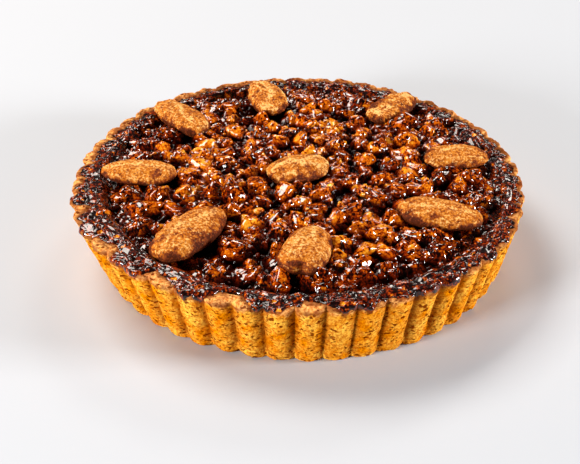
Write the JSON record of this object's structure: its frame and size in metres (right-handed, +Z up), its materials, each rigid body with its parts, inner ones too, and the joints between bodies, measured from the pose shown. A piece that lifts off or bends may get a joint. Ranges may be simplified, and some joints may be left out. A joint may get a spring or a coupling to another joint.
{
  "type": "pecan tart",
  "caption": "Fluted shortcrust tart filled with a heap of chopped pecans set in dark caramel, with candied pecan halves on top.",
  "frame": {"origin": "centre of the flat underside of the crust", "axes": "+Z up out of the filling, -Y towards the front of the tart, +X to its right"},
  "size_m": [0.2006, 0.1993, 0.0403],
  "materials": {
    "shortcrust": "baked shortcrust, matte and porous",
    "caramel_nuts": "chopped pecans in glossy dark caramel",
    "candied_pecan": "sugar-coated pecan, dull and rough"
  },
  "bodies": {
    "root": {"crust": "shortcrust", "filling": "caramel_nuts", "pecan_1": "candied_pecan", "pecan_2": "candied_pecan", "pecan_3": "candied_pecan", "pecan_4": "candied_pecan", "pecan_5": "candied_pecan", "pecan_6": "candied_pecan", "pecan_7": "candied_pecan", "pecan_8": "candied_pecan", "pecan_9": "candied_pecan"}
  },
  "joints": []
}
